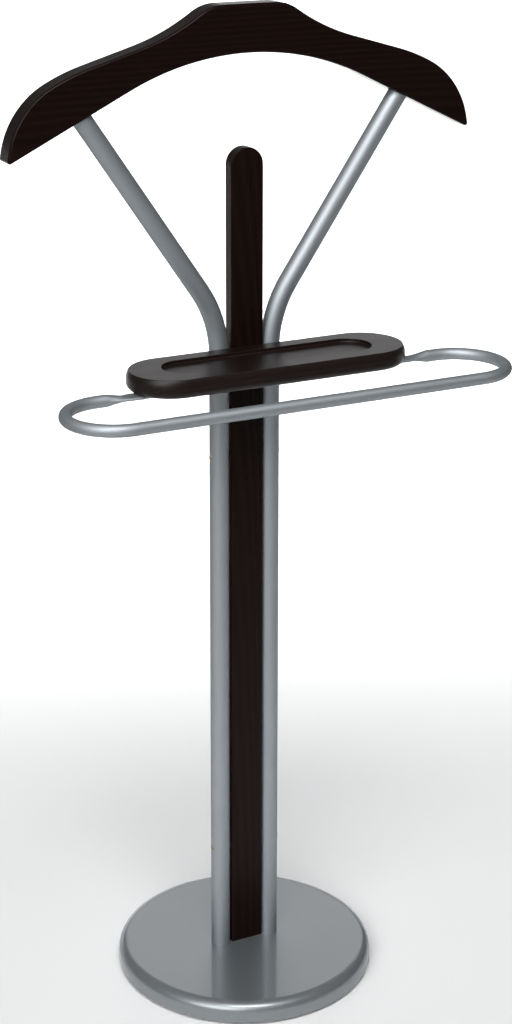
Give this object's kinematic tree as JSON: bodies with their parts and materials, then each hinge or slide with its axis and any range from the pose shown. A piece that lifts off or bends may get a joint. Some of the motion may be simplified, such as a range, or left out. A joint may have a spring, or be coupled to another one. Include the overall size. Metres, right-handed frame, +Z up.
{
  "type": "valet stand",
  "caption": "Free-standing valet stand: round base, bent tube uprights with a board between them, pocket tray, trouser bar loop and a jacket hanger board on top.",
  "frame": {"origin": "centre of the base, on the floor, at the underside of the felt disc", "axes": "+Z up, +X to the right seen from the front, +Y to the back; the trouser bar is in front at -Y"},
  "size_m": [0.511, 0.3054, 1.0602],
  "materials": {
    "silver_lacquer": "fibreboard in glossy silver metallic lacquer",
    "dark_wood": "satin lacquered, wenge-dark",
    "silver_tube": "satin silver metallic paint on steel tube",
    "zinc_fixings": "zinc plated",
    "insert_brass": "turned",
    "steel_plug": "turned, plain",
    "black_nylon": "moulded",
    "felt": "pressed felt"
  },
  "bodies": {
    "root": {"base_disc": "silver_lacquer", "base_felt": "felt", "board_foot_screw": "zinc_fixings", "centre_board": "dark_wood", "foot_bolts": "zinc_fixings", "foot_washers": "zinc_fixings", "hanger_board": "dark_wood", "hanger_screws": "zinc_fixings", "left_bar_screws": "zinc_fixings", "left_foot_plug": "steel_plug", "left_side_screws": "zinc_fixings", "left_spacers": "black_nylon", "left_upright": "silver_tube", "right_bar_screws": "zinc_fixings", "right_foot_plug": "steel_plug", "right_side_screws": "zinc_fixings", "right_spacers": "black_nylon", "right_upright": "silver_tube", "tray": "dark_wood", "tray_bolts": "zinc_fixings", "tray_inserts": "insert_brass", "trouser_bar": "silver_tube"}
  },
  "joints": []
}
